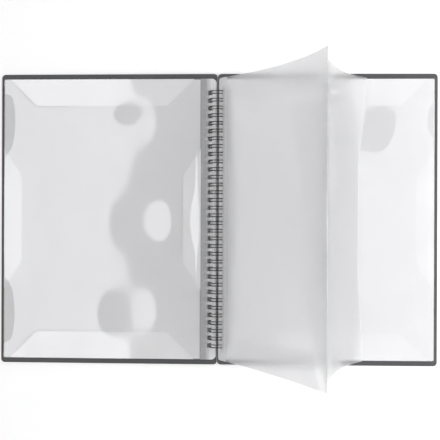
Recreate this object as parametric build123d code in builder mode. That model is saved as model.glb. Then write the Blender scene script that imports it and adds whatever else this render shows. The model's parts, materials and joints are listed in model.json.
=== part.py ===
"""Clear pocket display book, lying open with one leaf half turned.

Frame: the table is z = 0, the binding's axis runs along Y above the origin, X goes across the spread.
Units are millimetres and degrees.
"""
import math
import os

from build123d import *

# Leaves: a bound panel of film with a second panel folded over it at the outer edge.
LEFT_LEAVES = 5
RIGHT_LEAVES = 4
LEAF_WIDTH = 236.5
LEAF_HEIGHT = 311.0
LEAF_CORNER = 3.0
LEAF_GAP = 0.31
FILM = 0.15
STRIP_WIDTH = 15.2

# White sheet that fills a pocket.
FILLER_THICKNESS = 0.1
FILLER_MARGIN = 1.0

# Retaining flaps inside a pocket, and the air between its layers.
LAYER_GAP = 0.08
END_FLAP_DEPTH = 30.0
END_FLAP_MARGIN = 7.5
SIDE_FLAP_DEPTH = 19.8
SIDE_FLAP_BASE = 156.0
SIDE_FLAP_TIP = 95.0

# A leaf's layers: panel, filler, flaps and panel, with air between them.
POCKET = FILLER_THICKNESS + FILM + 3 * LAYER_GAP
LEAF_THICKNESS = POCKET + 2 * FILM
LEAF_PITCH = LEAF_THICKNESS + LEAF_GAP
PANEL_MIDDLE = (POCKET + FILM) / 2
FLAP_LEVEL = POCKET / 2 - LAYER_GAP - FILM

# Covers, a margin larger than the leaves.
COVER_OVERHANG = 6.2
COVER_MARGIN = 6.0
COVER_WIDTH = LEAF_WIDTH + COVER_OVERHANG
COVER_HEIGHT = LEAF_HEIGHT + 2 * COVER_MARGIN
COVER_THICKNESS = 0.9
COVER_CORNER = 4.0
COVER_OFFSET = max(LEFT_LEAVES, RIGHT_LEAVES + 1) * LEAF_PITCH + (LEAF_GAP + COVER_THICKNESS) / 2
CREASE_INSET = 22.0
CREASE_WIDTH = 1.2
CREASE_DEPTH = 0.3

# Binding wire: one wire bent into twin loops, three to the inch, as many as the leaf's height takes.
LOOP_PITCH = 25.4 / 3
ROW_MARGIN = 13.0
LOOPS = int((LEAF_HEIGHT - 2 * ROW_MARGIN) / LOOP_PITCH) + 1
WIRE_DIAMETER = 1.0
TWIN_SPACING = 3.0
RING_ROOM = 2.4
RING_RADIUS = COVER_OFFSET + RING_ROOM
ROOT_ANGLE = -80.0
TIP_ANGLE = 248.0
RING_STEPS = 8
BEND_STEPS = 3

# Square holes, the same in every sheet, set in so that the covers' inner edges all but meet.
HOLE_CLEARANCE = 0.4
HOLE_SIDE = TWIN_SPACING + WIRE_DIAMETER + 2 * HOLE_CLEARANCE
SPINE_GAP = 0.44
HOLE_INSET = math.sqrt(RING_RADIUS**2 - COVER_OFFSET**2) - SPINE_GAP / 2

# Leaf caught in mid-turn, in a shallow curve from the spine up to its outer fold.
TURN_ANGLE = 54.3
TURN_BEND = 19.0
STRIP_EASE = 2.0
STRAIGHT_LENGTH = STRIP_WIDTH + STRIP_EASE

# Its fold-over panel, hanging from the outer fold down to the right page.
HANG_BEND = 24.5
FOLD_GAP = 0.7
FOOT_GAP = 0.4


def ring_point(angle, y):
    """A point on the ring's centre circle, before the axis is lifted off the table."""
    a = math.radians(angle)
    return Vector(RING_RADIUS * math.cos(a), y, RING_RADIUS * math.sin(a))


def ring_tangent(angle):
    """The direction of travel round the ring, away from the root."""
    a = math.radians(angle)
    return Vector(-math.sin(a), 0, math.cos(a))


def ring_radial(angle):
    """The direction straight out from the binding's axis."""
    a = math.radians(angle)
    return Vector(math.cos(a), 0, math.sin(a))


def half_turn(angle, y, radius, heading):
    """Section planes round one hairpin, which lies flat against the ring."""
    planes = []
    for i in range(1, BEND_STEPS):
        turn = math.pi * i / BEND_STEPS
        along = ring_tangent(angle) * (heading * math.sin(turn) * radius)
        across = Vector(0, -math.cos(turn) * radius, 0)
        direction = ring_tangent(angle) * (heading * math.cos(turn)) + Vector(0, math.sin(turn), 0)
        planes.append(Plane(ring_point(angle, y) + along + across, ring_radial(angle), direction))
    return planes


def ring_run(y, heading):
    """Section planes over the ring from root to tip, or back again."""
    planes = []
    for i in range(RING_STEPS + 1):
        share = i / RING_STEPS if heading > 0 else 1 - i / RING_STEPS
        angle = ROOT_ANGLE + (TIP_ANGLE - ROOT_ANGLE) * share
        planes.append(Plane(ring_point(angle, y), ring_radial(angle), ring_tangent(angle) * heading))
    return planes


def wire_planes(loops):
    """Section planes along the whole wire, loop after loop."""
    planes = []
    root_radius = (LOOP_PITCH - TWIN_SPACING) / 2
    for i in range(loops):
        y = (i - (loops - 1) / 2) * LOOP_PITCH
        planes += ring_run(y - TWIN_SPACING / 2, 1)
        planes += half_turn(TIP_ANGLE, y, TWIN_SPACING / 2, 1)
        planes += ring_run(y + TWIN_SPACING / 2, -1)
        if i < loops - 1:
            planes += half_turn(ROOT_ANGLE, y + LOOP_PITCH / 2, root_radius, -1)
    return planes


def least_wire_gap():
    """The smallest gap between stretches of the wire that aren't next to each other, on three loops."""
    points = []
    nodes = [plane.origin for plane in wire_planes(3)]
    for a, b in zip(nodes, nodes[1:]):
        points += [a + (b - a) * (i / 6) for i in range(6)]
    travel = [0.0]
    for a, b in zip(points, points[1:]):
        travel.append(travel[-1] + (b - a).length)
    apart = 4 * WIRE_DIAMETER
    least = min(
        (points[j] - points[i]).length
        for i in range(len(points))
        for j in range(i + 1, len(points))
        if travel[j] - travel[i] > apart
    )
    return least - WIRE_DIAMETER


# The wire's lowest point rests on the table, and the covers lean so that their outer edges do too.
AXIS_HEIGHT = WIRE_DIAMETER / 2 - min(plane.origin.Z for plane in wire_planes(2))


def hole_distance(offset):
    """How far from the axis a sheet's holes lie, for the sheet's own distance from the axis."""
    return math.sqrt(RING_RADIUS**2 - offset**2)


COVER_REACH = hole_distance(COVER_OFFSET) - HOLE_INSET + COVER_WIDTH
LEAN = math.asin((AXIS_HEIGHT - COVER_OFFSET - COVER_THICKNESS / 2) / COVER_REACH)


def side_plane(side):
    """The plane through the axis that one half of the book lies along, x outward and z up."""
    return Plane(
        origin=(0, 0, AXIS_HEIGHT),
        x_dir=(side * math.cos(LEAN), 0, -math.sin(LEAN)),
        z_dir=(side * math.sin(LEAN), 0, math.cos(LEAN)),
    )


def punch_holes(distance):
    """The row of holes for the binding wire, taken out of the sketch being drawn."""
    with Locations((distance, 0)):
        with GridLocations(1, LOOP_PITCH, 1, LOOPS):
            Rectangle(HOLE_SIDE, HOLE_SIDE, mode=Mode.SUBTRACT)


def flap_outlines(inner, outer):
    """The four flaps of one face, between the spine-side edge and the outer fold."""
    top = LEAF_HEIGHT / 2
    base = SIDE_FLAP_BASE / 2
    tip = SIDE_FLAP_TIP / 2
    near = inner + END_FLAP_MARGIN
    far = outer - END_FLAP_MARGIN
    for way in (1, -1):
        Polygon(
            (near, way * top),
            (far, way * top),
            (far - END_FLAP_DEPTH, way * (top - END_FLAP_DEPTH)),
            (near + END_FLAP_DEPTH, way * (top - END_FLAP_DEPTH)),
            align=None,
        )
    for edge, way in ((inner, 1), (outer, -1)):
        Polygon(
            (edge, -base),
            (edge + way * SIDE_FLAP_DEPTH, -tip),
            (edge + way * SIDE_FLAP_DEPTH, tip),
            (edge, base),
            align=None,
        )


def flap_hems(inner, outer):
    """The folds that join the four flaps to the bound panel."""
    top = LEAF_HEIGHT / 2
    reach = outer - inner - 2 * END_FLAP_MARGIN
    for way in (1, -1):
        with Locations(((inner + outer) / 2, way * (top - FILM / 2))):
            Rectangle(reach, FILM)
    for u in (inner + FILM / 2, outer - FILM / 2):
        with Locations((u, 0)):
            Rectangle(FILM, SIDE_FLAP_BASE)


def panel_outline(inner, outer):
    """One panel of film, with the two corners away from the outer fold cut off."""
    with BuildSketch(mode=Mode.PRIVATE) as outline:
        with Locations(((inner + outer) / 2, 0)):
            Rectangle(outer - inner, LEAF_HEIGHT)
        chamfer(outline.vertices().group_by(Axis.X)[0], LEAF_CORNER)
    add(outline.sketch)


def flat_leaf(side, offset, bound_up):
    """A leaf lying flat, with its bound panel above or below its fold-over panel.

    Its flaps lie just under the upper panel, and leave room for the filler below them.
    """
    base = side_plane(side)
    way = 1 if bound_up else -1
    distance = hole_distance(offset - way * PANEL_MIDDLE)
    edge = distance - HOLE_INSET
    start = edge + STRIP_WIDTH
    fold = edge + LEAF_WIDTH
    hem_reach = way * POCKET / 2 - FLAP_LEVEL
    with BuildPart() as leaf:
        with BuildSketch(base.offset(-offset + way * PANEL_MIDDLE - FILM / 2)):
            panel_outline(edge, fold)
            punch_holes(distance)
        extrude(amount=FILM)
        with BuildSketch(base.offset(-offset - way * PANEL_MIDDLE - FILM / 2)):
            panel_outline(start, fold)
        extrude(amount=FILM)
        with BuildSketch(base.offset(-offset - POCKET / 2)):
            with Locations((fold - FILM / 2, 0)):
                Rectangle(FILM, LEAF_HEIGHT)
        extrude(amount=POCKET)
        with BuildSketch(base.offset(-offset + FLAP_LEVEL)):
            flap_outlines(start, fold)
        extrude(amount=FILM)
        with BuildSketch(base.offset(-offset + FLAP_LEVEL)):
            flap_hems(start, fold)
        extrude(amount=hem_reach)
    return leaf.part


def filler_sheet(side, offset, bound_up):
    """The white sheet inside a flat leaf, under its flaps."""
    base = side_plane(side)
    way = 1 if bound_up else -1
    edge = hole_distance(offset - way * PANEL_MIDDLE) - HOLE_INSET
    inner = edge + STRIP_WIDTH + FILLER_MARGIN
    outer = edge + LEAF_WIDTH - FILLER_MARGIN
    with BuildPart() as sheet:
        with BuildSketch(base.offset(-offset - POCKET / 2 + LAYER_GAP)):
            with Locations(((inner + outer) / 2, 0)):
                Rectangle(outer - inner, LEAF_HEIGHT - 2 * FILLER_MARGIN)
        extrude(amount=FILLER_THICKNESS)
    return sheet.part


def cover(side):
    """A cover sheet, punched, with a scored crease on its outside."""
    base = side_plane(side)
    distance = hole_distance(COVER_OFFSET)
    edge = distance - HOLE_INSET
    outside = -COVER_OFFSET - COVER_THICKNESS / 2
    with BuildPart() as sheet:
        with BuildSketch(base.offset(outside)) as outline:
            with Locations((edge + COVER_WIDTH / 2, 0)):
                Rectangle(COVER_WIDTH, COVER_HEIGHT)
            fillet(outline.vertices(), COVER_CORNER)
            punch_holes(distance)
        extrude(amount=COVER_THICKNESS)
        with BuildSketch(base.offset(outside)):
            with Locations((edge + CREASE_INSET, 0)):
                Rectangle(CREASE_WIDTH, COVER_HEIGHT)
        extrude(amount=CREASE_DEPTH, mode=Mode.SUBTRACT)
    return sheet.part


PROFILE_PLANE = Plane(origin=(0, 0, AXIS_HEIGHT), x_dir=(1, 0, 0), z_dir=(0, -1, 0))


def heading(angle):
    """A unit step along a direction in the profile plane."""
    return Vector(math.cos(math.radians(angle)), math.sin(math.radians(angle)))


def bent_band(start, angle, straight, bend, length, shift, thickness):
    """A strip of film in profile: a straight run, then an arc, moved sideways by the shift."""
    radius = (length - straight) / math.radians(bend)
    with BuildLine() as path:
        at = start + heading(angle + 90) * shift
        if straight > 0:
            Line(at, at + heading(angle) * straight)
        JernArc(at + heading(angle) * straight, heading(angle), radius - shift, bend)
    trace(path.edges(), thickness)


def bent_sheet(start, angle, straight, bend, length):
    """A panel of film that stands in a curve, with the two corners at its lower end cut off."""
    with BuildPart() as sheet:
        with BuildSketch(PROFILE_PLANE):
            bent_band(start, angle, straight, bend, length, 0, FILM)
        extrude(amount=LEAF_HEIGHT / 2, both=True)
        corners = sheet.edges().filter_by(lambda e: e.length < 2 * FILM)
        chamfer(corners.sort_by(Axis.Z)[:2], LEAF_CORNER)
    return sheet.part


def bent_flaps(start, angle, straight, bend, length, inner, outer):
    """The flaps of a bent panel, on the side away from the curve's centre, with their hems."""
    end = bent_end(start, angle, straight, bend, length)
    along = (end - start).normalized()
    share = (end - start).length / length
    chord_plane = Plane(
        origin=PROFILE_PLANE.from_local_coords(start),
        x_dir=(along.X, 0, along.Y),
        z_dir=(-along.Y, 0, along.X),
    )
    lift = -LAYER_GAP - FILM
    with BuildPart() as flaps:
        with BuildSketch(PROFILE_PLANE):
            bent_band(start, angle, straight, bend, length, lift, FILM)
        extrude(amount=LEAF_HEIGHT / 2, both=True)
        with BuildSketch(chord_plane):
            flap_outlines(inner * share, outer * share)
        extrude(amount=length / 4, both=True, mode=Mode.INTERSECT)
    with BuildPart() as hems:
        with BuildSketch(PROFILE_PLANE):
            bent_band(start, angle, straight, bend, length, lift / 2, LAYER_GAP + 2 * FILM)
        extrude(amount=LEAF_HEIGHT / 2, both=True)
        with BuildSketch(chord_plane):
            flap_hems(inner * share, outer * share)
        extrude(amount=length / 4, both=True, mode=Mode.INTERSECT)
    return flaps.part, hems.part


def bent_end(start, angle, straight, bend, length):
    """Where a bent panel's profile ends."""
    radius = (length - straight) / math.radians(bend)
    chord = 2 * radius * math.sin(math.radians(bend) / 2)
    return start + heading(angle) * straight + heading(angle + bend / 2) * chord


os.makedirs("parts", exist_ok=True)


def save(part, name):
    """Names a finished piece and writes it out."""
    part.label = name
    export_step(part, f"parts/{name}.step")


# Covers.
save(cover(-1), "front_cover")
save(cover(1), "back_cover")

# Leaves on each side, numbered from the cover up.
for i in range(LEFT_LEAVES):
    depth = (LEFT_LEAVES - i - 0.5) * LEAF_PITCH
    save(flat_leaf(-1, depth, False), f"left_leaf_{i + 1}")
    save(filler_sheet(-1, depth, False), f"left_filler_{i + 1}")
for i in range(RIGHT_LEAVES):
    depth = (RIGHT_LEAVES - i + 0.5) * LEAF_PITCH
    save(flat_leaf(1, depth, True), f"right_leaf_{i + 1}")
    save(filler_sheet(1, depth, True), f"right_filler_{i + 1}")

# Turning leaf: its bound panel, with the flaps, then the panel that hangs from the outer fold.
turn_shift = -LEAF_PITCH / 2 + PANEL_MIDDLE
turn_holes = hole_distance(turn_shift)
turn_start = heading(TURN_ANGLE) * (turn_holes - HOLE_INSET) + heading(TURN_ANGLE + 90) * turn_shift
turn_length = LEAF_WIDTH - FOLD_GAP
turn_shape = (turn_start, TURN_ANGLE, STRAIGHT_LENGTH, TURN_BEND, turn_length)
strip_plane = Plane(
    origin=(0, 0, AXIS_HEIGHT),
    x_dir=(heading(TURN_ANGLE).X, 0, heading(TURN_ANGLE).Y),
    z_dir=(heading(TURN_ANGLE + 90).X, 0, heading(TURN_ANGLE + 90).Y),
)
turning_sheet = bent_sheet(*turn_shape)
turning_flaps, turning_hems = bent_flaps(*turn_shape, STRIP_WIDTH, turn_length - LEAF_CORNER)
with BuildPart() as turning_leaf:
    add(turning_sheet)
    add(turning_flaps)
    add(turning_hems)
    with BuildSketch(strip_plane):
        with Locations((turn_holes, 0)):
            with GridLocations(1, LOOP_PITCH, 1, LOOPS):
                Rectangle(HOLE_SIDE, HOLE_SIDE)
    extrude(amount=HOLE_SIDE, both=True, mode=Mode.SUBTRACT)
save(turning_leaf.part, "turning_leaf")

# The hanging panel's foot stands just clear of the uppermost right leaf.
fold_axis = bent_end(*turn_shape) + heading(TURN_ANGLE + TURN_BEND) * FOLD_GAP
hang_length = LEAF_WIDTH - STRIP_WIDTH - FOLD_GAP
hang_chord = FOLD_GAP + 2 * hang_length / math.radians(HANG_BEND) * math.sin(math.radians(HANG_BEND) / 2)
page_level = -1.5 * LEAF_PITCH + LEAF_THICKNESS / 2 + FILM / 2 + FOOT_GAP
fold_level = fold_axis.X * math.sin(LEAN) + fold_axis.Y * math.cos(LEAN)
hang_slope = -math.degrees(math.asin((fold_level - page_level) / hang_chord) + LEAN)
hang_angle = hang_slope - HANG_BEND / 2
hang_start = fold_axis + heading(hang_angle) * FOLD_GAP
hang_shape = (hang_start, hang_angle, 0, HANG_BEND, hang_length)
hanging_sheet = bent_sheet(*hang_shape)
foot = bent_end(*hang_shape)
save(hanging_sheet, "turning_leaf_panel")

# Binding wire, one unbroken six-sided tube made of flat faces.
rings = []
for section in wire_planes(LOOPS):
    corners = [(math.cos(math.radians(60 * k)), math.sin(math.radians(60 * k))) for k in range(6)]
    lifted = Plane(section.origin + Vector(0, 0, AXIS_HEIGHT), section.x_dir, section.z_dir)
    rings.append([lifted.from_local_coords(Vector(x, y) * (WIRE_DIAMETER / 2)) for x, y in corners])
walls = [Face(Wire.make_polygon(rings[0])), Face(Wire.make_polygon(rings[-1]))]
for here, there in zip(rings, rings[1:]):
    for k in range(6):
        after = (k + 1) % 6
        walls.append(Face(Wire.make_polygon([here[k], here[after], there[after], there[k]])))
with BuildPart() as binding_wire:
    add(Solid(Shell(walls)))
save(binding_wire.part, "binding_wire")

print("axis height", round(AXIS_HEIGHT, 3), "lean", round(math.degrees(LEAN), 3), "reach", round(COVER_REACH, 2))
print("fold axis", round(fold_axis.X, 3), round(fold_axis.Y + AXIS_HEIGHT, 3))
print("foot of the hanging panel", round(foot.X, 2), round(foot.Y + AXIS_HEIGHT, 2))
print("least gap of the wire to itself", round(least_wire_gap(), 2))
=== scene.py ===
"""Clear pocket display book: its looks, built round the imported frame. Metres, with the table at z = 0."""

import json
import math

import bpy
import numpy as np
from mathutils import Euler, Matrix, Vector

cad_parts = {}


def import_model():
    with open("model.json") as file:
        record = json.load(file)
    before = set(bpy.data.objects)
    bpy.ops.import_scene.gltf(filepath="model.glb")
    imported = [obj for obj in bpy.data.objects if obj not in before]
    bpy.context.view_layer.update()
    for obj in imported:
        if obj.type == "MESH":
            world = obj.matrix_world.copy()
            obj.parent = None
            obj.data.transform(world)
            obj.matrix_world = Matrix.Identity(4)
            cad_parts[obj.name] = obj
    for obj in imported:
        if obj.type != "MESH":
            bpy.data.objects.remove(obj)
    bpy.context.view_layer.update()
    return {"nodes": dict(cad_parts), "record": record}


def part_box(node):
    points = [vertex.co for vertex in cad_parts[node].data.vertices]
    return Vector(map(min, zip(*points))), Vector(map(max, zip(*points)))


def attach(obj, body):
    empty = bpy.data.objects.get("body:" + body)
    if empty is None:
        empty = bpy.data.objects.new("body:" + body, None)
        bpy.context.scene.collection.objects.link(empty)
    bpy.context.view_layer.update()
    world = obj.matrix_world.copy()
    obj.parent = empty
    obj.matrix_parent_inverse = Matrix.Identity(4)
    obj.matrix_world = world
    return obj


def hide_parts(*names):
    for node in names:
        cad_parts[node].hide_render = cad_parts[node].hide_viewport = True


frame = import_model()
nodes = frame["nodes"]
joints = {joint["name"]: joint for joint in frame["record"]["behaviour"]["joints"]}
panel_low, panel_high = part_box("turning_leaf_panel")

# Lengths are in millimetres up to where a mesh is made, as the part's own are. Angles are in degrees, but
# for the lean and the phases of ripples, which are in radians.
MM = 0.001

# Places that the frame gives: the binding's axis, the turning leaf's outer fold and its panel's foot.
AXIS = joints["turning_leaf_turn"]["pos_m"][2] / MM
FOLD = np.array(joints["fold_over_panel_open"]["pos_m"])[[0, 2]] / MM
FOOT = np.array([panel_high[0], panel_low[2]]) / MM

# Leaves of film: a panel with its binding strip.
LEAF_WIDTH = 236.5
LEAF_HEIGHT = 311.0
LEAF_CORNER = 3.0
STRIP = 15.2
HALF = LEAF_HEIGHT / 2

# Layers of a leaf: a film folded round a pocket, with a filler and flaps in it, and how far the middles of
# its panels and flaps lie off the middle of the leaf.
FILM = 0.15
FILLER = 0.1
LAYER_GAP = 0.08
LEAF_GAP = 0.31
POCKET = FILLER + FILM + 3 * LAYER_GAP
LEAF_PITCH = POCKET + 2 * FILM + LEAF_GAP
PANEL_MIDDLE = (POCKET + FILM) / 2
FLAP_MIDDLE = POCKET / 2 - LAYER_GAP - FILM / 2

# Covers lie under the leaves. All slope down by the lean from the binding to the cover's edge, on the table.
LEAVES_A_SIDE = 5
COVER_THICKNESS = 0.9
COVER_OFFSET = LEAVES_A_SIDE * LEAF_PITCH + (LEAF_GAP + COVER_THICKNESS) / 2
LEAN = math.radians(0.644)

# The strip's film is pale up to one distance from the axis, greyer from another, and runs into the page.
# The pale part is painted light by the wire; the part in the page is painted over the shade under its edge.
STRIP_PAINTED_LIGHT_FULL = 7.0
STRIP_PAINTED_LIGHT_END = 13.0
STRIP_TUCK = 1.2

# Mesh lines of a leaf: a thin border that keeps the shading of its edges true, lines in the rounded corners,
# counts of lines across its panels, and degrees from line to line round its fold.
BORDER = 0.05
CORNER_LINES = [0.0, BORDER, 0.5, 1.4]
FIELD_LINES = 54
TURN_LINES = 64
HANG_LINES = 90
FOLD_STEP = 20

# Air under a page's film: how far from each edge the film is held down before it rises freely.
HOLD_START = 1.0
HOLD_SPINE = 10.0
HOLD_FOLD = 24.0
HOLD_ENDS = 22.0

# Flaps inside a pocket. They rise by a share of what the film above them does, and have a thin border too.
FLAP_FOLLOW = 0.55
FLAP_ACROSS = 42
FLAP_DEEP = 10
FLAP_BORDER = 0.001
FLAP_SLACK = 0.3
END_FLAP_DEPTH = 30.0
END_FLAP_MARGIN = 7.5
SIDE_FLAP_DEPTH = 19.8
SIDE_FLAP_BASE = 156.0
SIDE_FLAP_TIP = 95.0

# Binding wire and the holes for it.
RING_ROOM = 2.4
RING_RADIUS = COVER_OFFSET + RING_ROOM
WIRE_DIAMETER = 1.0
TWIN_SPACING = 3.0
LOOPS = 34
LOOP_PITCH = 25.4 / 3
ROOT_ANGLE = -80.0
TIP_ANGLE = 248.0
HOLE_CLEARANCE = 0.4
HOLE_SIDE = TWIN_SPACING + WIRE_DIAMETER + 2 * HOLE_CLEARANCE
HOLE_INSET = 5.702
HOLE_ROWS = (np.arange(LOOPS) - (LOOPS - 1) / 2) * LOOP_PITCH
WIRE_SIDES = 12
RING_POINTS = 29
BEND_STEP = 22.5

# Leaf caught in mid-turn and its hanging panel. The solids stop a gap short of the outer fold, and the films
# reach it but for a touch. A free corner lifts past a share of the half height and of the panel's length.
TURN_ANGLE = 54.3
TURN_BEND = 19.0
STRIP_EASE = 2.0
STRAIGHT = STRIP + STRIP_EASE
FOLD_GAP = 0.7
FOLD_TOUCH = 0.1
HANG_BEND = 24.5
TURN_LENGTH = LEAF_WIDTH - FOLD_GAP
HANG_LENGTH = LEAF_WIDTH - STRIP - FOLD_GAP
TOP_BULGE = 5.2
TOP_CORNER_LIFT = 20.0
LOW_CORNER_LIFT = 11.0
LIFT_ALONG = 0.3
LIFT_DOWN = 0.55

# How far the tip of each of the turning leaf's flaps curls away from its panel.
TURN_FLAP_CURL = {"top": 1.2, "bottom": 3.0, "spine": 0.8, "outer": 0.8}

# Ripples of the two panels: their height, then crossing waves by millimetres to the radian. The hanging
# panel's also swing by radians down its length, and rise by a share of what they go sideways.
TURN_RIPPLE = 0.5
TURN_WAVE_OUT = 30.0
TURN_WAVE_ALONG = 45.0
TURN_CROSS_OUT = 80.0
TURN_CROSS_ALONG = 38.0
HANG_RIPPLE = 0.8
HANG_RIPPLE_RISE = 0.2
HANG_WAVE_ALONG = 34.0
HANG_PHASE_ALONG = 0.7
HANG_SWING_DOWN = 2.2
HANG_PHASE_DOWN = 0.4

# Looks that several materials share: noise between two stops, waves to the metre, and the optics of film.
MOTTLE_LOW = 0.35
MOTTLE_HIGH = 0.65
FILM_MOTTLE = 22.0
FILM_SHADE = 0.96
FROST_SHADE = 0.99
FILM_IOR = 1.5
FROST_IOR = 1.1


# Materials.

def node_tree(name):
    """A material, its tree and its Principled shader."""
    mat = bpy.data.materials.new(name)
    mat.use_nodes = True
    return mat, mat.node_tree, mat.node_tree.nodes["Principled BSDF"]


def noise_node(tree, scale, detail=4.0):
    """Noise over the object, with that many waves to the metre."""
    coords = tree.nodes.new("ShaderNodeTexCoord")
    noise = tree.nodes.new("ShaderNodeTexNoise")
    noise.inputs["Scale"].default_value = scale
    noise.inputs["Detail"].default_value = detail
    tree.links.new(coords.outputs["Object"], noise.inputs["Vector"])
    return noise


def ramp_node(tree, source, stops):
    """Turns a value into a colour between two stops."""
    ramp = tree.nodes.new("ShaderNodeValToRGB")
    for element, (position, colour) in zip(ramp.color_ramp.elements, stops):
        element.position = position
        element.color = (*colour, 1.0)
    tree.links.new(source, ramp.inputs["Fac"])
    return ramp


def mottle(tree, shader, scale, low, high):
    """Gives a shader a colour that wanders between two."""
    noise = noise_node(tree, scale)
    ramp = ramp_node(tree, noise.outputs["Fac"], [(MOTTLE_LOW, low), (MOTTLE_HIGH, high)])
    tree.links.new(ramp.outputs["Color"], shader.inputs["Base Color"])


def grain(tree, shader, scale, strength, distance):
    """Gives a shader a fine bump."""
    noise = noise_node(tree, scale, detail=2.0)
    bump = tree.nodes.new("ShaderNodeBump")
    bump.inputs["Strength"].default_value = strength
    bump.inputs["Distance"].default_value = distance
    tree.links.new(noise.outputs["Fac"], bump.inputs["Height"])
    tree.links.new(bump.outputs["Normal"], shader.inputs["Normal"])


def cover_material():
    """Charcoal polypropylene with a fine moulded grain."""
    mat, tree, shader = node_tree("charcoal_polypropylene")
    mottle(tree, shader, scale=14.0, low=(0.075, 0.075, 0.078), high=(0.089, 0.089, 0.092))
    grain(tree, shader, scale=1400.0, strength=0.35, distance=0.0001)
    shader.inputs["Roughness"].default_value = 0.48
    shader.inputs["IOR"].default_value = 1.49
    return mat


def wire_material():
    """Black coated wire, its gloss a little uneven."""
    mat, tree, shader = node_tree("coated_wire")
    mottle(tree, shader, scale=600.0, low=(0.018, 0.018, 0.020), high=(0.030, 0.030, 0.033))
    uneven = noise_node(tree, scale=900.0, detail=3.0)
    gloss = tree.nodes.new("ShaderNodeMapRange")
    gloss.inputs["To Min"].default_value = 0.26
    gloss.inputs["To Max"].default_value = 0.40
    tree.links.new(uneven.outputs["Fac"], gloss.inputs["Value"])
    tree.links.new(gloss.outputs["Result"], shader.inputs["Roughness"])
    shader.inputs["IOR"].default_value = 1.5
    return mat


def film_material(name, tint, alpha, metallic, rough):
    """Thin film, clear where alpha is low: a mirror where metallic is high, a milky haze where it is low."""
    mat, tree, shader = node_tree(name)
    mottle(tree, shader, FILM_MOTTLE, tuple(c * FILM_SHADE for c in tint), tint)
    shader.inputs["Alpha"].default_value = alpha
    shader.inputs["Metallic"].default_value = metallic
    shader.inputs["IOR"].default_value = FILM_IOR
    shader.inputs["Roughness"].default_value = rough
    return mat


def strip_painted_light_material(name, outer, inner):
    """Film over film in the binding strip: one tint at the page, and painted light where the holes are."""
    mat, tree, shader = node_tree(name)
    coords = tree.nodes.new("ShaderNodeTexCoord")
    part = tree.nodes.new("ShaderNodeSeparateXYZ")
    tree.links.new(coords.outputs["Object"], part.inputs["Vector"])
    out = tree.nodes.new("ShaderNodeMath")
    out.operation = "ABSOLUTE"
    tree.links.new(part.outputs["X"], out.inputs[0])
    along = tree.nodes.new("ShaderNodeMapRange")
    along.inputs["From Min"].default_value = STRIP_PAINTED_LIGHT_FULL * MM
    along.inputs["From Max"].default_value = STRIP_PAINTED_LIGHT_END * MM
    tree.links.new(out.outputs["Value"], along.inputs["Value"])
    # Painted light: the film pales towards the wire.
    ramp = ramp_node(tree, along.outputs["Result"], [(0.0, inner), (1.0, outer)])
    tree.links.new(ramp.outputs["Color"], shader.inputs["Base Color"])
    shader.inputs["Alpha"].default_value = 0.60
    shader.inputs["IOR"].default_value = FILM_IOR
    shader.inputs["Roughness"].default_value = 0.20
    return mat


def frosted_material(name, tint, alpha, clear, rough):
    """Milky film that lets most of the light through, and blurs what lies far behind it."""
    mat, tree, shader = node_tree(name)
    mottle(tree, shader, FILM_MOTTLE, tuple(c * FROST_SHADE for c in tint), tint)
    shader.inputs["Alpha"].default_value = alpha
    shader.inputs["Transmission Weight"].default_value = clear
    shader.inputs["IOR"].default_value = FROST_IOR
    shader.inputs["Roughness"].default_value = rough
    return mat


def paper_material():
    """Smooth white paper with a fine fibre."""
    mat, tree, shader = node_tree("white_paper")
    mottle(tree, shader, scale=60.0, low=(0.755, 0.755, 0.765), high=(0.775, 0.775, 0.785))
    shader.inputs["Roughness"].default_value = 0.75
    return mat


COVER = cover_material()
WIRE = wire_material()
FILM_PAGE = film_material("clear_film", (0.95, 0.95, 0.96), alpha=0.06, metallic=1.0, rough=0.045)
# One flap film on both pages: the right page's copy is darker, painted shade.
FILM_FLAP_LEFT = film_material("clear_film_flap_left", (0.93, 0.93, 0.94),
                               alpha=0.92, metallic=0.20, rough=0.45)
FILM_FLAP_RIGHT_PAINTED_SHADE = film_material("clear_film_flap_right_painted_shade", (0.89, 0.89, 0.90),
                                alpha=0.92, metallic=0.0, rough=0.45)
# One film stack on both pages: the right copy is painted lighter, against the shade over it.
FILM_STACK_LEFT = strip_painted_light_material("clear_film_stacked_left",
                                 outer=(0.53, 0.53, 0.55), inner=(0.97, 0.97, 0.98))
FILM_STACK_RIGHT_PAINTED_LIT = strip_painted_light_material("clear_film_stacked_right_painted_lit",
                                  outer=(0.94, 0.94, 0.96), inner=(0.97, 0.97, 0.98))
FILM_TURN = frosted_material("clear_film_lifted", (0.99, 0.99, 0.995), alpha=0.75, clear=0.88, rough=0.50)
# Painted light: the turning leaf's strip is a nearly opaque white film, against the shade of the loops.
FILM_TURN_STRIP_PAINTED_LIT = film_material("clear_film_lifted_strip_painted_light", (0.99, 0.99, 0.995),
                                alpha=0.95, metallic=0.0, rough=0.15)
FILM_TURN_FLAP = film_material("clear_film_lifted_flap", (0.94, 0.94, 0.96),
                               alpha=0.22, metallic=0.0, rough=0.20)
PAPER = paper_material()


# Meshes.

def add_mesh(name, verts, faces, mats, smooth):
    """A mesh object of millimetre points, with that many of its faces smooth and the rest flat."""
    mesh = bpy.data.meshes.new(name)
    mesh.from_pydata([tuple(v) for v in np.asarray(verts) * MM], [], [tuple(f) for f in faces])
    mesh.validate()
    mesh.update()
    for mat in mats:
        mesh.materials.append(mat)
    mesh.polygons.foreach_set("use_smooth", [i < smooth for i in range(len(mesh.polygons))])
    obj = bpy.data.objects.new(name, mesh)
    bpy.context.scene.collection.objects.link(obj)
    return obj


def add_film(name, verts, faces, mats, body, node=None):
    """A film of even thickness round a grid of quads, which rides on a body and may stand for a node."""
    obj = add_mesh(name, *thicken(verts, faces), mats, 2 * len(faces))
    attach(obj, body)
    if node:
        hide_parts(node)
    return obj


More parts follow.
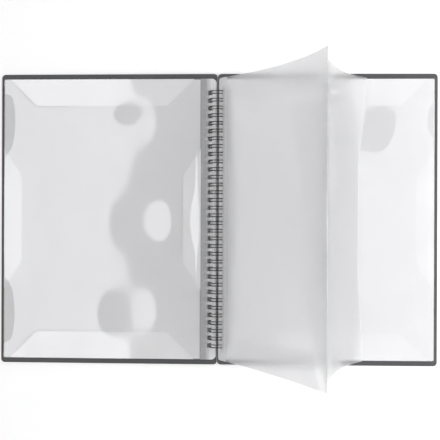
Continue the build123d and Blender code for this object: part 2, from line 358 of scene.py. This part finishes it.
def thicken(verts, faces):
    """Turns an open grid of quads into a closed film, grown equally to both sides."""
    verts = np.asarray(verts, float)
    faces = np.asarray(faces, int)
    a, b, c, d = (verts[faces[:, i]] for i in range(4))
    across = np.cross(c - a, d - b)
    normal = np.zeros_like(verts)
    for i in range(4):
        np.add.at(normal, faces[:, i], across)
    normal /= np.linalg.norm(normal, axis=1, keepdims=True)
    count = len(verts)
    both = np.concatenate([verts + normal * FILM / 2, verts - normal * FILM / 2])
    border = {}
    for face in faces:
        for i in range(4):
            p, q = int(face[i]), int(face[(i + 1) % 4])
            if (q, p) in border:
                del border[(q, p)]
            else:
                border[(p, q)] = True
    rim = [(p, p + count, q + count, q) for p, q in border]
    back = [tuple(face[::-1] + count) for face in faces]
    return both, [tuple(face) for face in faces] + back + rim


def grid_faces(rows, columns, keep=None):
    """Quads of a grid with that many points each way, but for those that keep turns down."""
    faces = []
    for i in range(rows - 1):
        for j in range(columns - 1):
            if keep is None or keep(i, j):
                k = i * columns + j
                faces.append((k, k + columns, k + columns + 1, k + 1))
    return faces


def drop_loose(verts, faces):
    """Leaves out the points that no face uses."""
    used = np.unique(np.asarray(faces).ravel())
    index = np.full(len(verts), -1)
    index[used] = np.arange(len(used))
    return np.asarray(verts)[used], index[np.asarray(faces)]


def lines_along():
    """Places of the mesh lines along the binding, which run past the sides of every hole."""
    corner = np.array(CORNER_LINES + [LEAF_CORNER, 2 * LEAF_CORNER])
    holes = np.concatenate([HOLE_ROWS - HOLE_SIDE / 2, HOLE_ROWS + HOLE_SIDE / 2])
    return np.sort(np.concatenate([corner - HALF, holes, HALF - corner]))


ALONG = lines_along()


def in_hole(u0, u1, v0, v1, holes_at):
    """True if a cell of the grid lies in one of the punched holes."""
    off_row = np.min(np.abs(HOLE_ROWS - (v0 + v1) / 2))
    return abs((u0 + u1) / 2 - holes_at) < HOLE_SIDE / 2 and off_row < HOLE_SIDE / 2


def corner_trim(gap):
    """How much a rounded corner takes off a panel's half height, that far from the panel's edge."""
    inside = LEAF_CORNER - np.clip(gap, 0, LEAF_CORNER)
    return LEAF_CORNER - np.sqrt(LEAF_CORNER**2 - inside**2)


def smooth_step(t):
    """Rises from 0 to 1 as t does, level at both ends."""
    t = np.clip(t, 0, 1)
    return t * t * (3 - 2 * t)


# Pages that lie flat.

# Soft hills of air under each page's film: out from the binding, along it, the radius each way, height.
LEFT_HILLS = [
    (50, 108, 28, 46, 0.85),
    (122, 117, 22, 11, 0.62),
    (135, -5, 24, 45, 0.62),
    (43, -2, 23, 28, 1.60),
    (24, 46, 10, 38, 0.62),
    (24, -50, 10, 38, 0.62),
    (142, -106, 26, 32, 0.95),
    (54, -102, 25, 36, 0.85),
    (239, 108, 60, 45, 4.30),
    (239, -105, 60, 45, 4.30),
]
RIGHT_HILLS = [
    (196, 94, 24, 28, 0.85),
    (239, 110, 40, 36, 2.60),
]


def place(side, u, v, n):
    """A point of one half of the book: u out from the axis, v along it, n off the leaned plane."""
    x = side * (u * math.cos(LEAN) + n * math.sin(LEAN))
    z = AXIS - u * math.sin(LEAN) + n * math.cos(LEAN)
    return np.stack([x, v, z], axis=-1)


def lift(hills, u, v, start, fold):
    """How far air lifts the film of a page, which is held down round its edges."""
    rise = 0.0
    for u0, v0, ru, rv, height in hills:
        rise = rise + height * np.exp(-(((u - u0) / ru) ** 2 + ((v - v0) / rv) ** 2))
    at_spine = smooth_step((u - start - HOLD_START) / HOLD_SPINE)
    at_fold = np.sin(math.pi / 2 * np.clip((fold - u) / HOLD_FOLD, 0, 1))
    at_ends = smooth_step((HALF - np.abs(v)) / HOLD_ENDS)
    return rise * at_spine * at_fold * at_ends


def flap_shapes(inner, outer):
    """The four flaps of a pocket, by name, each with its corners, long base first."""
    near, far = inner + END_FLAP_MARGIN, outer - END_FLAP_MARGIN
    end, tip = HALF - FLAP_SLACK, HALF - END_FLAP_DEPTH
    base, point = SIDE_FLAP_BASE / 2, SIDE_FLAP_TIP / 2
    shapes = {}
    for label, way in (("top", 1), ("bottom", -1)):
        long_side = [(near, way * end), (far, way * end)]
        short_side = [(far - END_FLAP_DEPTH, way * tip), (near + END_FLAP_DEPTH, way * tip)]
        shapes[label] = long_side + short_side
    for label, at, way in (("spine", inner + FLAP_SLACK, 1), ("outer", outer - 2 * FLAP_SLACK, -1)):
        reach = at + way * SIDE_FLAP_DEPTH
        shapes[label] = [(at, -base), (at, base), (reach, point), (reach, -point)]
    return shapes


def bordered_shares(count):
    """That many shares from 0 to 1, evenly spaced but for a thin border at both ends."""
    return np.concatenate([[0], np.linspace(FLAP_BORDER, 1 - FLAP_BORDER, count - 2), [1]])


def flap_grid(corners):
    """Points over a trapezoid, what share of its depth each is from the base, and the quads between them."""
    a, b, c, d = (np.array(p) for p in corners)
    s = bordered_shares(FLAP_ACROSS)[:, None, None]
    t = bordered_shares(FLAP_DEEP)[None, :, None]
    points = (a * (1 - s) + b * s) * (1 - t) + (d * (1 - s) + c * s) * t
    flat = points.reshape(-1, 2)
    return flat[:, 0], flat[:, 1], np.tile(t.ravel(), FLAP_ACROSS), grid_faces(FLAP_ACROSS, FLAP_DEEP)


def paint_strip(film, in_strip):
    """Gives the second material to the faces whose points are all in the binding strip."""
    for face in film.data.polygons:
        face.material_index = int(all(in_strip[k % len(in_strip)] for k in face.vertices))


def flat_leaf(name, side, depth, bound_up, hills, strip_film, flap_film, node, body):
    """A leaf lying flat: one film folded at the outer edge, its upper panel lifted in places by air."""
    way = 1 if bound_up else -1
    bound_level, over_level = -depth + way * PANEL_MIDDLE, -depth - way * PANEL_MIDDLE
    holes_at = math.sqrt(RING_RADIUS**2 - bound_level**2)
    edge = holes_at - HOLE_INSET
    start, fold = edge + STRIP, edge + LEAF_WIDTH
    strip = [edge + gap for gap in CORNER_LINES] + [holes_at - HOLE_SIDE / 2, holes_at + HOLE_SIDE / 2]
    field = [start, start + BORDER]
    field += list(np.linspace(start + STRIP_TUCK, fold - 2 * LEAF_CORNER, FIELD_LINES))
    field += [fold - LEAF_CORNER, fold - CORNER_LINES[-1], fold - PANEL_MIDDLE]
    turn = np.radians(np.arange(FOLD_STEP, 180, FOLD_STEP))
    u = np.concatenate([strip, field, fold - PANEL_MIDDLE * (1 - np.sin(turn)), field[::-1]])
    bound = np.arange(len(u)) < len(strip) + len(field)
    over = np.arange(len(u)) >= len(u) - len(field)
    curl = bound_level + (over_level - bound_level) * (1 - np.cos(turn)) / 2
    level = np.where(bound, bound_level, over_level)
    level[~bound & ~over] = curl
    trim = corner_trim(fold - u) + np.where(bound, corner_trim(u - edge), 0)
    uu, vv = np.meshgrid(u, ALONG, indexing="ij")
    vv = vv * ((HALF - trim) / HALF)[:, None]
    upper = bound if bound_up else over
    nn = level[:, None] + upper[:, None] * lift(hills, uu, vv, start, fold)
    verts = place(side, uu.ravel(), vv.ravel(), nn.ravel())

    def solid_cell(i, j):
        return not (bound[i + 1] and in_hole(u[i], u[i + 1], ALONG[j], ALONG[j + 1], holes_at))

    faces = grid_faces(len(u), len(ALONG), solid_cell)
    in_strip = np.repeat(bound & (u < start + STRIP_TUCK + BORDER), len(ALONG))
    (verts, faces), (in_strip, _) = drop_loose(verts, faces), drop_loose(in_strip, faces)
    film = add_film(name, verts, faces, [FILM_PAGE, strip_film], body, node)
    paint_strip(film, in_strip)
    for label, corners in flap_shapes(start, fold).items():
        fu, fv, _, faces = flap_grid(corners)
        fn = FLAP_MIDDLE - depth + FLAP_FOLLOW * lift(hills, fu, fv, start, fold)
        add_film(f"{name}_flap_{label}", place(side, fu, fv, fn), faces, [flap_film], body)


# The top leaf on the right lies one leaf deeper than that on the left, because the turning leaf goes on it.
flat_leaf("left_page_film", side=-1, depth=LEAF_PITCH / 2, bound_up=False, hills=LEFT_HILLS,
          strip_film=FILM_STACK_LEFT, flap_film=FILM_FLAP_LEFT, node="left_leaf_5", body="left_page_5")
# The right page's flaps take the darker copy, painted shade, and its strip the lighter one, painted light.
flat_leaf("right_page_film", side=1, depth=3 * LEAF_PITCH / 2, bound_up=True, hills=RIGHT_HILLS,
          strip_film=FILM_STACK_RIGHT_PAINTED_LIT, flap_film=FILM_FLAP_RIGHT_PAINTED_SHADE, node="right_leaf_4", body="right_page_4")


# Leaf in mid-turn.

TURN_SHIFT = PANEL_MIDDLE - LEAF_PITCH / 2
TURN_HOLES = math.sqrt(RING_RADIUS**2 - TURN_SHIFT**2)
TURN_EDGE = TURN_HOLES - HOLE_INSET


def unit(angle):
    """The direction at that angle in the X-Z plane."""
    return np.array([math.cos(math.radians(angle)), math.sin(math.radians(angle))])


def turn_profile(s):
    """Point and left-hand normal of the bound panel's profile, that far from its spine-side edge."""
    origin = unit(TURN_ANGLE) * TURN_EDGE + unit(TURN_ANGLE + 90) * TURN_SHIFT
    radius = (TURN_LENGTH - STRAIGHT) / math.radians(TURN_BEND)
    first = math.radians(TURN_ANGLE)
    angle = first + np.maximum(s - STRAIGHT, 0) / radius
    straight = np.minimum(s, STRAIGHT)
    x = origin[0] + straight * math.cos(first) + radius * (np.sin(angle) - math.sin(first))
    z = origin[1] + straight * math.sin(first) - radius * (np.cos(angle) - math.cos(first))
    return x, z + AXIS, -np.sin(angle), np.cos(angle)


def turn_surface(s, v, off):
    """A point that far off the standing panel, which bulges more towards the top of the page."""
    x, z, nx, nz = turn_profile(s)
    t = np.clip((s - STRAIGHT) / (TURN_LENGTH - STRAIGHT), 0, 1)
    free = 4 * t * (1 - t)
    waves = np.sin(s / TURN_WAVE_OUT + v / TURN_WAVE_ALONG)
    waves = waves * np.sin(v / TURN_CROSS_ALONG - s / TURN_CROSS_OUT)
    move = off + free * (TURN_RIPPLE * waves - TOP_BULGE * v / HALF)
    return np.stack([x + nx * move, v, z + nz * move], axis=-1)


def turning_panel():
    """The bound panel of the leaf in mid-turn, with its flaps on the underside."""
    holes_at = TURN_HOLES - TURN_EDGE
    strip = CORNER_LINES + [holes_at - HOLE_SIDE / 2, holes_at + HOLE_SIDE / 2]
    end = TURN_LENGTH + FOLD_GAP - FOLD_TOUCH
    s = np.concatenate([strip, np.linspace(STRIP, end - BORDER, TURN_LINES), [end]])
    ss, vv = np.meshgrid(s, ALONG, indexing="ij")
    vv = vv * ((HALF - corner_trim(s)) / HALF)[:, None]
    verts = turn_surface(ss.ravel(), vv.ravel(), 0.0)

    def solid_cell(i, j):
        return not in_hole(s[i], s[i + 1], ALONG[j], ALONG[j + 1], holes_at)

    faces = grid_faces(len(s), len(ALONG), solid_cell)
    in_strip = ss.ravel() < STRIP + BORDER
    (verts, faces), (in_strip, _) = drop_loose(verts, faces), drop_loose(in_strip, faces)
    # The strip gets the nearly opaque white film, painted light.
    films = [FILM_TURN, FILM_TURN_STRIP_PAINTED_LIT]
    film = add_film("turning_leaf_film", verts, faces, films, "turning_page", "turning_leaf")
    paint_strip(film, in_strip)
    for label, corners in flap_shapes(STRIP, TURN_LENGTH - LEAF_CORNER).items():
        fs, fv, from_base, faces = flap_grid(corners)
        under = -(PANEL_MIDDLE - FLAP_MIDDLE) - TURN_FLAP_CURL[label] * from_base**2
        verts = turn_surface(fs, fv, under)
        add_film(f"turning_leaf_flap_{label}", verts, faces, [FILM_TURN_FLAP], "turning_page")


def hanging_panel():
    """The fold-over panel, hanging from the outer fold, with the corners of its free edge curled up."""
    chord = FOOT - FOLD
    first = math.degrees(math.atan2(chord[1], chord[0])) - HANG_BEND / 2
    s = np.concatenate([[0], np.linspace(BORDER, HANG_LENGTH - BORDER, HANG_LINES), [HANG_LENGTH]])
    ss, vv = np.meshgrid(s, ALONG, indexing="ij")
    t = ss / HANG_LENGTH
    corner = np.where(vv > 0, TOP_CORNER_LIFT, LOW_CORNER_LIFT)
    corner = corner * smooth_step((np.abs(vv) / HALF - LIFT_ALONG) / (1 - LIFT_ALONG))
    corner = corner * np.clip((t - LIFT_DOWN) / (1 - LIFT_DOWN), 0, 1) ** 2
    angle = np.radians(first + HANG_BEND * t + corner)
    middle = (angle[1:] + angle[:-1]) / 2
    step = np.diff(ss, axis=0)
    begin = FOLD + FOLD_TOUCH * unit(first)
    waves = np.sin(vv / HANG_WAVE_ALONG + HANG_PHASE_ALONG)
    waves = waves * np.sin(math.pi * t) * np.sin(HANG_SWING_DOWN * t + HANG_PHASE_DOWN)
    ripple = HANG_RIPPLE * waves
    x = begin[0] + ripple
    x[1:] += np.cumsum(np.cos(middle) * step, axis=0)
    z = begin[1] + HANG_RIPPLE_RISE * ripple
    z[1:] += np.cumsum(np.sin(middle) * step, axis=0)
    y = vv * (HALF - corner_trim(HANG_LENGTH - ss)) / HALF
    verts = np.stack([x, y, z], axis=-1).reshape(-1, 3)
    faces = grid_faces(len(s), len(ALONG))
    add_film("fold_over_panel_film", verts, faces, [FILM_TURN], "turning_flap", "turning_leaf_panel")


turning_panel()
hanging_panel()


# Binding wire.

def ring_way(angle):
    """Directions out from the axis and round the ring, at that angle."""
    c, s = math.cos(math.radians(angle)), math.sin(math.radians(angle))
    return np.array([c, 0, s]), np.array([-s, 0, c])


def wire_path():
    """Points along the wire, loop after loop, each with the direction out from the axis."""
    path, out = [], []

    def add(angle, y, along=0.0):
        radial, tangent = ring_way(angle)
        path.append(radial * RING_RADIUS + tangent * along + np.array([0, y, AXIS]))
        out.append(radial)

    def hairpin(angle, y, radius, heading):
        for turn in np.radians(np.arange(BEND_STEP, 180, BEND_STEP)):
            add(angle, y - math.cos(turn) * radius, heading * math.sin(turn) * radius)

    up = np.linspace(ROOT_ANGLE, TIP_ANGLE, RING_POINTS)
    for y in HOLE_ROWS:
        for angle in up:
            add(angle, y - TWIN_SPACING / 2)
        hairpin(TIP_ANGLE, y, TWIN_SPACING / 2, 1)
        for angle in up[::-1]:
            add(angle, y + TWIN_SPACING / 2)
        if y < HOLE_ROWS[-1]:
            hairpin(ROOT_ANGLE, y + LOOP_PITCH / 2, (LOOP_PITCH - TWIN_SPACING) / 2, -1)
    return np.array(path), np.array(out)


def binding_wire():
    """One round wire bent into twin loops."""
    sides = WIRE_SIDES
    path, out = wire_path()
    way = np.gradient(path, axis=0)
    side = np.cross(way, out)
    side /= np.linalg.norm(side, axis=1, keepdims=True)
    turn = np.arange(sides) * 2 * math.pi / sides
    round_out = out[:, None, :] * np.cos(turn)[None, :, None]
    round_side = side[:, None, :] * np.sin(turn)[None, :, None]
    verts = (path[:, None, :] + WIRE_DIAMETER / 2 * (round_out + round_side)).reshape(-1, 3)
    faces = [tuple(range(sides))[::-1]]
    for i in range(len(path) - 1):
        for k in range(sides):
            m = (k + 1) % sides
            faces.append((i * sides + k, i * sides + m, (i + 1) * sides + m, (i + 1) * sides + k))
    faces.append(tuple(range(len(verts) - sides, len(verts))))
    obj = add_mesh("binding_wire_round", verts, faces, [WIRE], len(faces))
    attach(obj, "back_half")
    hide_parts("binding_wire")


binding_wire()


# CAD pieces that stay in view.

def paint(node, mat):
    """Gives a node of the frame one material."""
    mesh = nodes[node].data
    mesh.materials.clear()
    mesh.materials.append(mat)


# The buried leaves take the strip films and their painted light, the right page's lighter copy too.
for name in nodes:
    if name.endswith("_cover"):
        paint(name, COVER)
    elif "_filler_" in name:
        paint(name, PAPER)
    elif name.startswith("left_leaf_"):
        paint(name, FILM_STACK_LEFT)
    elif name.startswith("right_leaf_"):
        paint(name, FILM_STACK_RIGHT_PAINTED_LIT)


# Stage, light and camera.

# Lengths are in metres, but for the lens and its sensor, in millimetres. The camera's yaw and roll are in
# radians.
FLOOR_REACH = 3.0
FLOOR_GLOW = 0.25
FLOOR_GLOW_BEHIND = 0.5
WALL_LOW = 0.1
WALL_HIGH = 0.95
WALL_BLUE = 1.02
LAMP_HEIGHT = 1.1
END_LAMP_PLACE = 0.80
END_LAMP_HEIGHT = 0.55
END_LAMP_TURN = 55.0
FILM_BOUNCES = 32
CAMERA_LENS = 82.32
CAMERA_SENSOR = 36.0
CAMERA_REACH = 1.122
CAMERA_YAW = math.radians(2.5)
CAMERA_ROLL = 0.0037
CAMERA_AIM = (0.0028, -0.0009)


def floor():
    """A pale table that looks white to the camera and in reflections, and keeps the object's shadow."""
    mesh = bpy.data.meshes.new("floor")
    r = FLOOR_REACH
    mesh.from_pydata([(-r, -r, 0), (r, -r, 0), (r, r, 0), (-r, r, 0)], [], [(0, 1, 2, 3)])
    obj = bpy.data.objects.new("floor", mesh)
    bpy.context.scene.collection.objects.link(obj)
    mat, tree, shader = node_tree("floor_white")
    mottle(tree, shader, scale=40.0, low=(0.86, 0.86, 0.86), high=(0.88, 0.88, 0.88))
    shader.inputs["Roughness"].default_value = 0.9
    shader.inputs["Emission Color"].default_value = (1, 1, 1, 1)
    # It glows for the camera and for reflections, and by a share for what is seen through film.
    rays = tree.nodes.new("ShaderNodeLightPath")
    seen = tree.nodes.new("ShaderNodeMath")
    seen.operation = "ADD"
    tree.links.new(rays.outputs["Is Camera Ray"], seen.inputs[0])
    tree.links.new(rays.outputs["Is Glossy Ray"], seen.inputs[1])
    through = tree.nodes.new("ShaderNodeMath")
    through.operation = "MULTIPLY_ADD"
    through.use_clamp = True
    tree.links.new(rays.outputs["Is Transmission Ray"], through.inputs[0])
    through.inputs[1].default_value = FLOOR_GLOW_BEHIND
    tree.links.new(seen.outputs["Value"], through.inputs[2])
    glow = tree.nodes.new("ShaderNodeMath")
    glow.operation = "MULTIPLY"
    glow.inputs[1].default_value = FLOOR_GLOW
    tree.links.new(through.outputs["Value"], glow.inputs[0])
    tree.links.new(glow.outputs["Value"], shader.inputs["Emission Strength"])
    mesh.materials.append(mat)


def world(overhead, sides):
    """Grey studio walls, darker overhead than at the sides."""
    studio = bpy.data.worlds.new("studio")
    bpy.context.scene.world = studio
    studio.use_nodes = True
    tree = studio.node_tree
    coords = tree.nodes.new("ShaderNodeTexCoord")
    part = tree.nodes.new("ShaderNodeSeparateXYZ")
    tree.links.new(coords.outputs["Generated"], part.inputs["Vector"])
    low = (sides, sides, sides * WALL_BLUE)
    high = (overhead, overhead, overhead * WALL_BLUE)
    shade = ramp_node(tree, part.outputs["Z"], [(WALL_LOW, low), (WALL_HIGH, high)])
    tree.links.new(shade.outputs["Color"], tree.nodes["Background"].inputs["Color"])


def softbox(name, left, right, length, radiance, y=0.0, height=LAMP_HEIGHT, turn=(0.0, 0.0)):
    """A flat lamp from one x to another, which faces down unless it is turned about X and Y, in degrees."""
    lamp = bpy.data.lights.new(name, "AREA")
    lamp.shape = "RECTANGLE"
    lamp.size = right - left
    lamp.size_y = length
    lamp.energy = radiance * math.pi * lamp.size * lamp.size_y
    obj = bpy.data.objects.new(name, lamp)
    obj.location = ((left + right) / 2, y, height)
    obj.rotation_euler = (math.radians(turn[0]), math.radians(turn[1]), 0.0)
    bpy.context.scene.collection.objects.link(obj)


def camera():
    """Almost straight down, from a little to the right of the spine."""
    lens = bpy.data.cameras.new("camera")
    lens.lens = CAMERA_LENS
    lens.sensor_width = CAMERA_SENSOR
    obj = bpy.data.objects.new("camera", lens)
    x = CAMERA_AIM[0] + CAMERA_REACH * math.sin(CAMERA_YAW)
    obj.location = (x, CAMERA_AIM[1], CAMERA_REACH * math.cos(CAMERA_YAW))
    turn = Euler((0, CAMERA_YAW, 0)).to_matrix() @ Euler((0, 0, CAMERA_ROLL)).to_matrix()
    obj.rotation_euler = turn.to_euler()
    bpy.context.scene.collection.objects.link(obj)
    bpy.context.scene.camera = obj


floor()
world(overhead=0.08, sides=0.19)
softbox("softbox_left", left=-0.90, right=-0.267, length=1.5, radiance=1.85)
softbox("softbox_middle", left=0.02, right=0.20, length=1.0, radiance=1.8)
softbox("softbox_fill", left=0.20, right=0.27, length=1.0, radiance=0.3)
softbox("softbox_right", left=0.27, right=0.75, length=1.3, radiance=1.58)
softbox("softbox_far_right", left=0.75, right=1.15, length=1.2, radiance=0.7)
softbox("softbox_side", left=0.60, right=0.90, length=1.2, radiance=2.6, height=0.50, turn=(0.0, 50.0))
for name, way in (("softbox_head", 1), ("softbox_foot", -1)):
    softbox(name, left=-0.10, right=1.10, length=0.5, radiance=1.75,
            y=way * END_LAMP_PLACE, height=END_LAMP_HEIGHT, turn=(-way * END_LAMP_TURN, 0.0))
camera()
bpy.context.scene.view_settings.view_transform = "Standard"
bpy.context.scene.cycles.transparent_max_bounces = FILM_BOUNCES
